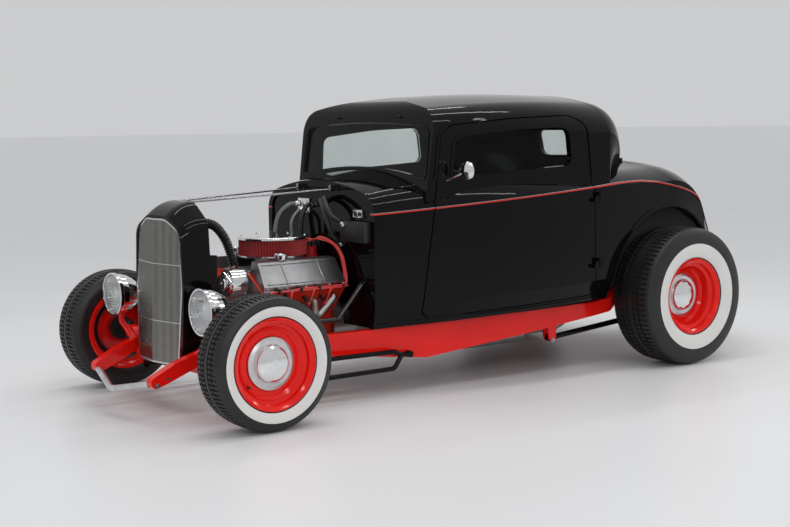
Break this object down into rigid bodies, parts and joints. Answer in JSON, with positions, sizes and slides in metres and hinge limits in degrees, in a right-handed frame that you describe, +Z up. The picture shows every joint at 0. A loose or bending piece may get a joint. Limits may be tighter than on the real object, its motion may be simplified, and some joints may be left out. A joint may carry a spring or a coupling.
{
  "type": "hot rod",
  "caption": "Chopped-top coupe hot rod with an open V8 engine, red frame, vertical-bar grille and whitewall tyres on red steel wheels.",
  "frame": {"origin": "on the floor, under the middle of the car's bounding box", "axes": "+X points forward, +Y to the car's left and +Z up"},
  "size_m": [3.95, 1.6834, 1.4946],
  "materials": {
    "black_paint": "high gloss black enamel",
    "red_paint": "gloss red enamel",
    "engine_paint": "gloss orange-red engine enamel",
    "chrome": "mirror bright plating",
    "polished_aluminium": "polished cast aluminium",
    "bright_steel": "bright steel",
    "pipe_steel": "heat-dulled steel",
    "tyre_rubber": "black rubber with a white band",
    "hose_rubber": "satin black rubber",
    "clear_glass": "clear, faintly green",
    "lamp_glass": "fluted clear glass",
    "red_lens": "red lens",
    "filter_paper": "pleated red element",
    "trim_leather": "dark brown upholstery",
    "cabin_black": "satin black trim",
    "cap_black": "glossy black and red cap"
  },
  "bodies": {
    "chassis": {"air_filter": "filter_paper", "breather_caps": "chrome", "cab_glass": "clear_glass", "cowl": "black_paint", "distributor": "cap_black", "driveline": "bright_steel", "engine_block": "engine_paint", "engine_front": "polished_aluminium", "exhaust": "pipe_steel", "firewall": "black_paint", "floor": "cabin_black", "frame": "red_paint", "front_axle": "red_paint", "front_spring": "red_paint", "fuel_tank": "black_paint", "grille_bars": "bright_steel", "grille_shell": "black_paint", "headlamp_lenses": "lamp_glass", "headlamps": "chrome", "hood_stays": "chrome", "hoses": "hose_rubber", "intake": "polished_aluminium", "radiator": "hose_rubber", "radius_rods": "black_paint", "rear_axle": "red_paint", "rear_body": "black_paint", "rear_links": "black_paint", "rear_springs": "chrome", "roof": "black_paint", "seat": "trim_leather", "spreader_bars": "chrome", "steering_box": "polished_aluminium", "steering_column": "chrome", "tail_lamps": "red_lens", "valve_covers": "polished_aluminium"},
    "knuckle_left": {"knuckle_left": "red_paint"},
    "knuckle_right": {"knuckle_right": "red_paint"},
    "tie_rod": {"tie_rod": "bright_steel"},
    "drag_link": {"drag_link": "bright_steel"},
    "pitman_arm": {"pitman_arm": "bright_steel"},
    "door_left": {"door_left": "black_paint", "door_glass_left": "clear_glass", "mirror_left": "chrome"},
    "door_right": {"door_right": "black_paint", "door_glass_right": "clear_glass", "mirror_right": "chrome"},
    "deck_lid": {"deck_lid": "black_paint"},
    "wheel_front_left": {"tyre_front_left": "tyre_rubber", "wheel_front_left": "red_paint", "cap_front_left": "chrome"},
    "wheel_front_right": {"tyre_front_right": "tyre_rubber", "wheel_front_right": "red_paint", "cap_front_right": "chrome"},
    "wheel_rear_left": {"tyre_rear_left": "tyre_rubber", "wheel_rear_left": "red_paint", "cap_rear_left": "chrome"},
    "wheel_rear_right": {"tyre_rear_right": "tyre_rubber", "wheel_rear_right": "red_paint", "cap_rear_right": "chrome"}
  },
  "joints": [
    {"name": "steer_left", "type": "hinge", "parent": "chassis", "child": "knuckle_left", "pos_m": [1.567, 0.6, 0.302], "axis": [0, 0, 1], "range_deg": [-22, 22]},
    {"name": "steer_right", "type": "hinge", "parent": "chassis", "child": "knuckle_right", "pos_m": [1.567, -0.6, 0.302], "axis": [0, 0, 1], "range_deg": [-22, 22]},
    {"name": "tie_rod_pivot", "type": "hinge", "parent": "knuckle_left", "child": "tie_rod", "pos_m": [1.417, 0.6, 0.183], "axis": [0, 0, 1], "range_deg": [-22, 22]},
    {"name": "drag_link_pivot", "type": "hinge", "parent": "knuckle_right", "child": "drag_link", "pos_m": [1.369, -0.6, 0.183], "axis": [0, 0, 1], "range_deg": [-22, 22]},
    {"name": "pitman_pivot", "type": "hinge", "parent": "chassis", "child": "pitman_arm", "pos_m": [1.369, 0.25, 0.3503], "axis": [-1, 0, 0], "range_deg": [-30, 30]},
    {"name": "spin_front_left", "type": "hinge", "parent": "knuckle_left", "child": "wheel_front_left", "pos_m": [1.567, 0.735, 0.302], "axis": [0, 1, 0], "continuous": true},
    {"name": "spin_front_right", "type": "hinge", "parent": "knuckle_right", "child": "wheel_front_right", "pos_m": [1.567, -0.735, 0.302], "axis": [0, 1, 0], "continuous": true},
    {"name": "spin_rear_left", "type": "hinge", "parent": "chassis", "child": "wheel_rear_left", "pos_m": [-1.125, 0.7, 0.378], "axis": [0, 1, 0], "continuous": true},
    {"name": "spin_rear_right", "type": "hinge", "parent": "chassis", "child": "wheel_rear_right", "pos_m": [-1.125, -0.7, 0.378], "axis": [0, 1, 0], "continuous": true},
    {"name": "door_left_hinge", "type": "hinge", "parent": "chassis", "child": "door_left", "pos_m": [-0.525, 0.704, 0.75], "axis": [0, 0, 1], "range_deg": [0, 65]},
    {"name": "door_right_hinge", "type": "hinge", "parent": "chassis", "child": "door_right", "pos_m": [-0.525, -0.704, 0.75], "axis": [0, 0, -1], "range_deg": [0, 65]},
    {"name": "deck_lid_hinge", "type": "hinge", "parent": "chassis", "child": "deck_lid", "pos_m": [-1.145, 0, 1.12], "axis": [0, 1, 0], "range_deg": [0, 55]}
  ],
  "couplings": [
    {"joint": "steer_right", "follows": "steer_left", "ratio": 1},
    {"joint": "tie_rod_pivot", "follows": "steer_left", "ratio": -1},
    {"joint": "drag_link_pivot", "follows": "steer_left", "ratio": -1},
    {"joint": "pitman_pivot", "follows": "steer_left", "ratio": 1.32}
  ]
}
